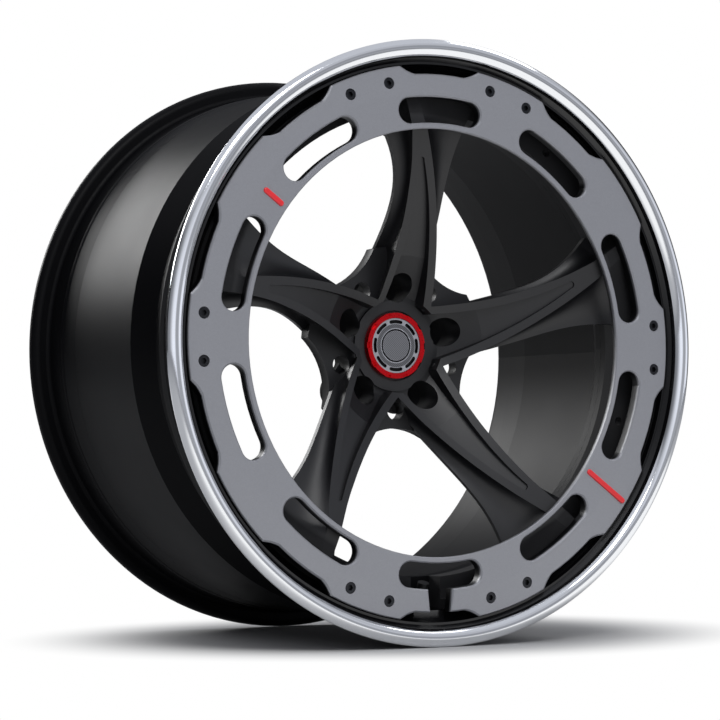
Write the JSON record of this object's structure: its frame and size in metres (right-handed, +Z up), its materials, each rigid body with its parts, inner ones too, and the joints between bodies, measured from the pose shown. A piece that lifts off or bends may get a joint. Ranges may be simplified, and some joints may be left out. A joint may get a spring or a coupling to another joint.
{
  "type": "car wheel",
  "caption": "Forged multi-piece car wheel with twisted spokes, a polished outer lip, a slotted face ring, a bolted inner barrel and a clip-in centre cap.",
  "frame": {"origin": "middle of the wheel: on its axis, half-way between the front edge of the lip and the edge of the rear flange", "axes": "+Y along the wheel's axis towards the car, so the face looks towards -Y; +Z up with the valve at the bottom"},
  "size_m": [0.5684, 0.33, 0.5684],
  "materials": {
    "wheel_centre": "satin black coat over forged and milled alloy",
    "outer_lip": "polished front flange, gloss black coat behind it",
    "inner_barrel": "gloss black coat over spun alloy",
    "rim_seal": "cured sealing bead",
    "face_ring": "satin gunmetal coat",
    "ring_screws": "black oxide",
    "mark_bar_short": "red anodised",
    "mark_bar_long": "red anodised",
    "assembly_bolts": "zinc plated",
    "assembly_washers": "zinc plated",
    "cap_ring": "red anodised",
    "cap_disc": "satin grey coat",
    "cap_body": "moulded black",
    "cap_spring": "bright wire",
    "valve_stem": "black anodised",
    "valve_grommet": "moulded",
    "valve_washer": "black anodised",
    "valve_nut": "black anodised",
    "valve_core": "turned",
    "valve_cap": "black anodised"
  },
  "bodies": {
    "root": {"wheel_centre": "wheel_centre", "outer_lip": "outer_lip", "inner_barrel": "inner_barrel", "rim_seal": "rim_seal", "face_ring": "face_ring", "ring_screws": "ring_screws", "mark_bar_short": "mark_bar_short", "mark_bar_long": "mark_bar_long", "assembly_bolts": "assembly_bolts", "assembly_washers": "assembly_washers", "cap_ring": "cap_ring", "cap_disc": "cap_disc", "cap_body": "cap_body", "cap_spring": "cap_spring", "valve_stem": "valve_stem", "valve_grommet": "valve_grommet", "valve_washer": "valve_washer", "valve_nut": "valve_nut", "valve_core": "valve_core", "valve_cap": "valve_cap"}
  },
  "joints": []
}
